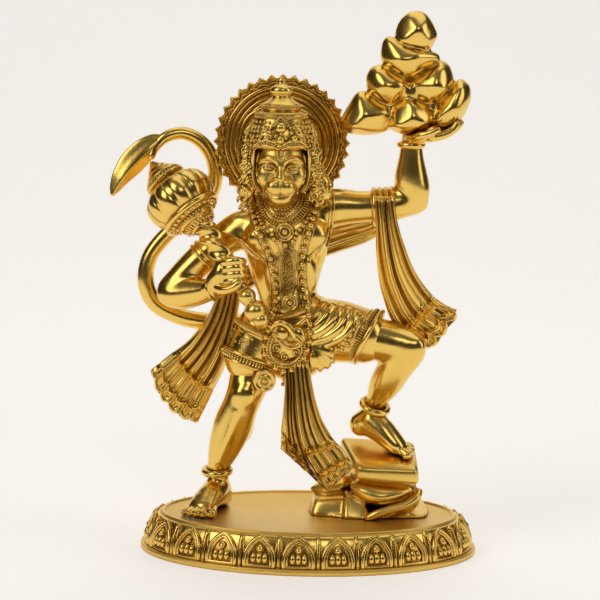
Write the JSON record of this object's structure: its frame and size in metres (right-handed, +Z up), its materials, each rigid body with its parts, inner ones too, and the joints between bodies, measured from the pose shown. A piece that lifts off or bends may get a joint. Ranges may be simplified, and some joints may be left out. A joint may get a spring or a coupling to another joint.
{
  "type": "hanuman figure",
  "caption": "Gold-plated cast idol of Hanuman with mace and mountain, haloed and crowned, left foot raised on a rock, on an oval lotus-petal plinth",
  "frame": {"origin": "the centre of the plinth's underside", "axes": "+Z up, the figure faces -Y, and +X is to the viewer's right, on the side of the hand that lifts the mountain"},
  "size_m": [0.1037, 0.0624, 0.1493],
  "materials": {
    "plinth": "gold plated, bright frieze with a satin top",
    "halo": "gold plated and polished, darker in its recesses",
    "figure": "gold plated and polished to a mirror, darker in its folds"
  },
  "bodies": {
    "root": {"plinth": "plinth", "halo": "halo", "figure": "figure"}
  },
  "joints": []
}
